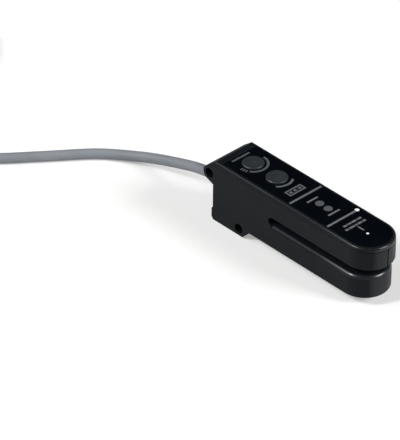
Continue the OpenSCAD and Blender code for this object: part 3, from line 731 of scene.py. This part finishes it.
# PBT: black switch cases with a dry moulded skin
pbt = plastic("pbtCase", {
    "dark": "#17181A", "light": "#202225", "edge": "#3C3F42", "wearAndSheen": 0.5, "edgeMm": 0.15, "driftMm": 2,
    "grainMm": 0.3, "grainDeepMm": 0.01, "rough": (0.5, 0.62), "specular": 0.35})

# epoxy package: black with silica filler, so faintly speckled
epoxy = plastic("epoxyPackage", {
    "dark": "#141416", "light": "#242529", "edge": "#3A3B3E", "wearAndSheen": 0.4, "edgeMm": 0.1, "driftMm": 0.6,
    "grainMm": 0.25, "grainDeepMm": 0.008, "rough": (0.55, 0.68), "specular": 0.35})

# ceramic lamp body: chalk white
lampWhite = plastic("ceramicLamp", {
    "dark": "#E6E0CC", "light": "#F2EEE0", "edge": "#FAF8F0", "wearAndSheen": 0.4, "edgeMm": 0.1, "driftMm": 1.5,
    "grainMm": 0.3, "grainDeepMm": 0.005, "rough": (0.35, 0.5), "specular": 0.4})

# soft PVC: the strain relief, black with a dull bloom
softPvc = plastic("softPvc", {
    "dark": "#101214", "light": "#1B1D20", "edge": "#2E3236", "wearAndSheen": 0.4, "edgeMm": 0.25, "driftMm": 5,
    "grainMm": 0.7, "grainDeepMm": 0.02, "rough": (0.52, 0.68), "specular": 0.3, "ior": 1.52, "sheen": 0.08})

# polycarbonate, smoked and frosted: grey windows that let the lamps below show when lit
polycarbonate = clouded("frostedPolycarbonate", {
    "dark": "#555A5F", "light": "#6F7479", "cloudMm": 0.6, "detail": 3, "deepMm": 0.01, "rough": (0.35, 0.55),
    "shader": {"IOR": 1.58, "Specular IOR Level": 0.35, "Transmission Weight": 0.35}})

# acrylic lens, red filter: nearly black until light comes through, polished
acrylic = clouded("redAcrylic", {
    "dark": "#3A0A10", "light": "#5A1219", "cloudMm": 3, "detail": 2, "rough": (0.04, 0.14),
    "shader": {"IOR": 1.49, "Specular IOR Level": 0.5, "Transmission Weight": 0.6}})

# clear epoxy: the cast emitter, water clear with a trace of yellow
clearEpoxy = clouded("clearEpoxy", {
    "dark": "#D8D2BE", "light": "#F0ECDE", "cloudMm": 1.2, "detail": 2, "rough": (0.05, 0.16),
    "shader": {"IOR": 1.54, "Specular IOR Level": 0.5, "Transmission Weight": 0.7}})

# drawn aluminium: cans with fine rings from the drawing die, so the noise is drawn out around them
aluminium = clouded("drawnAluminium", {
    "dark": "#A4A8AB", "light": "#CDD0D2", "cloudMm": 0.3, "stretch": (0.05, 0.05, 1), "detail": 3,
    "rough": (0.25, 0.45), "shader": {"Metallic": 1}})

# Blender's wave texture runs through 20 radians in one unit of its scale; the waves below are drawn
# 2 pi times coarser than the real spacing, so that they show
waveUnit = 2 * np.pi / 20
waveCoarse = 2 * np.pi

# solder mask on glass fibre: green lacquer over copper tracks, which tell as paler lines
boardLook = {
    "mask": "#1B5236",
    "track": "#2F7A52",
    "trackMm": 1.27,
    "trackWander": 0.6,
    "trackSpan": (0.55, 0.65),  # part of the wave over which a track's edge rises
    "trackDeepMm": 0.03,
    "weaveMm": 0.6,
    "rough": (0.25, 0.4),
}


def solderMask(look):
    material, tree = newMaterial("solderMask")
    place = addNode(tree, "ShaderNodeTexCoord").outputs["Object"]
    tracks = addNode(tree, "ShaderNodeTexWave", {
        "Vector": place, "Scale": perMetre(look["trackMm"] * waveCoarse) * waveUnit,
        "Distortion": look["trackWander"], "Detail": 0}, bands_direction="Y")
    weave = addNode(tree, "ShaderNodeTexNoise", {
        "Vector": place, "Scale": perMetre(look["weaveMm"]), "Detail": 2})
    raised = addNode(tree, "ShaderNodeMapRange", {
        "Value": tracks.outputs["Fac"], "From Min": look["trackSpan"][0],
        "From Max": look["trackSpan"][1]}).outputs[0]
    tone = addNode(tree, "ShaderNodeMix", {
        "Factor": raised, "A": linear(look["mask"]), "B": linear(look["track"])}, data_type="RGBA")
    gloss = addNode(tree, "ShaderNodeMapRange", {
        "Value": weave.outputs[0], "To Min": look["rough"][0], "To Max": look["rough"][1]})
    bump = addNode(tree, "ShaderNodeBump", {
        "Height": raised, "Strength": 1, "Distance": look["trackDeepMm"] * mm})
    shade(tree, {
        "Base Color": tone.outputs[2], "Roughness": gloss.outputs[0], "Normal": bump.outputs[0],
        "Specular IOR Level": 0.5, "Coat Weight": 0.2})
    return material


# flat ribbon: grey PVC with one ridge for each wire
ribbonLook = {"low": "#7A7F84", "high": "#A0A5AA", "wireMm": 1.27, "wireDeepMm": 0.1, "rough": 0.45}


def flatRibbon(look):
    material, tree = newMaterial("flatRibbon")
    place = addNode(tree, "ShaderNodeTexCoord").outputs["Object"]
    wires = addNode(tree, "ShaderNodeTexWave", {
        "Vector": place, "Scale": perMetre(look["wireMm"] * waveCoarse) * waveUnit},
        bands_direction="Y").outputs["Fac"]
    tone = addNode(tree, "ShaderNodeMix", {
        "Factor": wires, "A": linear(look["low"]), "B": linear(look["high"])}, data_type="RGBA")
    bump = addNode(tree, "ShaderNodeBump", {
        "Height": wires, "Strength": 1, "Distance": look["wireDeepMm"] * mm})
    shade(tree, {
        "Base Color": tone.outputs[2], "Roughness": look["rough"], "Normal": bump.outputs[0],
        "Specular IOR Level": 0.4})
    return material


# nylon strap: black, hard and slightly shiny, with the teeth of the strap across it
strapLook = {
    "dark": "#131416",
    "light": "#1E2023",
    "toothMm": 1.1,
    "toothDeepMm": 0.12,
    "turn": 60,  # degrees around the coil where the tie sits
    "driftMm": 3,
    "edgeMm": 0.3,
    "rough": (0.32, 0.5),
}


def nylonStrap(look):
    material, tree = newMaterial("nylonStrap")
    place = addNode(tree, "ShaderNodeTexCoord").outputs["Object"]
    turned = addNode(tree, "ShaderNodeMapping", {
        "Vector": place, "Rotation": (0, 0, -np.radians(look["turn"]))})
    teeth = addNode(tree, "ShaderNodeTexWave", {
        "Vector": turned.outputs[0], "Scale": perMetre(look["toothMm"] * waveCoarse) * waveUnit},
        bands_direction="X", wave_profile="SAW")
    drift = addNode(tree, "ShaderNodeTexNoise", {
        "Vector": place, "Scale": perMetre(look["driftMm"]), "Detail": 3}).outputs[0]
    tone = addNode(tree, "ShaderNodeMix", {
        "Factor": drift, "A": linear(look["dark"]), "B": linear(look["light"])}, data_type="RGBA")
    gloss = addNode(tree, "ShaderNodeMapRange", {
        "Value": drift, "To Min": look["rough"][0], "To Max": look["rough"][1]})
    softEdge = addNode(tree, "ShaderNodeBevel", {
        "Radius": look["edgeMm"] * mm}, samples=mouldLook["edgeSamples"])
    bump = addNode(tree, "ShaderNodeBump", {
        "Height": teeth.outputs["Fac"], "Normal": softEdge.outputs[0], "Strength": 1,
        "Distance": look["toothDeepMm"] * mm})
    shade(tree, {
        "Base Color": tone.outputs[2], "Roughness": gloss.outputs[0], "Normal": bump.outputs[0],
        "Specular IOR Level": 0.4, "IOR": 1.53})
    return material


finishes = {
    polyamide: ["fork_body", "lid", "bottom_cover"],
    silicone: ["lid_seal"],
    polyester: ["label"],
    satinAbs: ["rear_button", "front_button"],
    acetal: ["rear_plunger", "front_plunger"],
    pbt: ["rear_switch", "front_switch"],
    polycarbonate: ["light_pipe"],
    lampWhite: ["power_lamp", "output_lamp"],
    solderMask(boardLook): ["main_board", "emitter_board"],
    epoxy: ["controller_chip", "driver_chip", "receiver"],
    aluminium: ["capacitors"],
    acrylic: ["receiver_lens", "emitter_lens"],
    clearEpoxy: ["emitter"],
    flatRibbon(ribbonLook): ["link_ribbon"],
    softPvc: ["cable_gland"],
    tin: ["cable_crimp", "lead_ferrules"],
    nylonStrap(strapLook): ["coil_tie"],
    cable.data.materials[0]: ["cable_run", "cable_coil", "cable_tail"],
    **{coreMaterials[n]: ["core_" + n, "lead_" + n] for n in coreMaterials},
}
for material, names in finishes.items():
    for name in names:
        nodes[name].data.materials.clear()
        nodes[name].data.materials.append(material)
print("finishes:", len(finishes), "on", sum(map(len, finishes.values())), "nodes")


# Floor and light

stageLook = {
    "half": 14,  # metres from the middle to the floor's edge
    "dropMm": 0.05,  # how far the floor lies under the base, so that the two never share a face
    "paper": "#DADAD9",
    "fleck": "#D3D3D2",
    "fibreMm": 1.5,
    "lift": 0.36,  # light of its own for the camera, gloss and glass, so that the paper comes out white
    "sky": 0.04,
}


def whitePaper(look):
    # white paper: flat, chalky and barely fibrous; it takes the shadow
    material, tree = newMaterial("whitePaper")
    place = addNode(tree, "ShaderNodeTexCoord").outputs["Object"]
    fibre = addNode(tree, "ShaderNodeTexNoise", {
        "Vector": place, "Scale": perMetre(look["fibreMm"]), "Detail": 3})
    tone = addNode(tree, "ShaderNodeMix", {
        "Factor": fibre.outputs[0], "A": linear(look["fleck"]), "B": linear(look["paper"])}, data_type="RGBA")
    paper = addNode(tree, "ShaderNodeBsdfDiffuse", {"Color": tone.outputs[2]})
    ray = addNode(tree, "ShaderNodeLightPath").outputs
    seen = addNode(tree, "ShaderNodeMath", {
        0: ray["Is Camera Ray"], 1: ray["Is Glossy Ray"]}, operation="MAXIMUM")
    shown = addNode(tree, "ShaderNodeMath", {
        0: seen.outputs[0], 1: ray["Is Transmission Ray"]}, operation="MAXIMUM")
    strength = addNode(tree, "ShaderNodeMath", {0: shown.outputs[0], 1: look["lift"]}, operation="MULTIPLY")
    lift = addNode(tree, "ShaderNodeEmission", {"Strength": strength.outputs[0]})
    both = addNode(tree, "ShaderNodeAddShader", {0: paper.outputs[0], 1: lift.outputs[0]})
    addNode(tree, "ShaderNodeOutputMaterial", {"Surface": both.outputs[0]})
    return material


def makeFloor(look):
    half = look["half"]
    corners = np.array([(-half, -half), (half, -half), (half, half), (-half, half)])
    points = np.column_stack([corners, np.full(4, -look["dropMm"] * mm)])
    addMesh("floor", points, [(0, 1, 2, 3)], whitePaper(look))


makeFloor(stageLook)

# each lamp: direction it stands in, then its distance, width and height in metres, and its watts
lampLook = {
    "softLamp": ((-0.60, -0.50, 0.62), 2.5, 1.6, 1.4, 26),
    "keyLamp": ((-0.27, -0.66, 0.70), 2.5, 0.4, 0.6, 33),
    "rimLamp": ((0.78, 0.36, 0.52), 2.5, 1.0, 0.9, 56),
}


def makeLamp(name, direction, distance, wide, tall, watts):
    # a lamp shines against its own Z, which therefore points away from the object
    data = bpy.data.lights.new(name, "AREA")
    data.shape, data.size, data.size_y, data.energy = "RECTANGLE", wide, tall, watts
    back = np.array(direction) / np.linalg.norm(direction)
    right = np.cross([0, 0, 1], back)
    right /= np.linalg.norm(right)
    stand(name, data, (right, np.cross(back, right), back), back * distance)


for name, values in lampLook.items():
    makeLamp(name, *values)
world = bpy.data.worlds.new("studio")
world.use_nodes = True
background = world.node_tree.nodes["Background"].inputs
background["Color"].default_value = linear("#FFFFFF")
background["Strength"].default_value = stageLook["sky"]
scene.world = world
print("floor and", len(lampLook), "lamps")
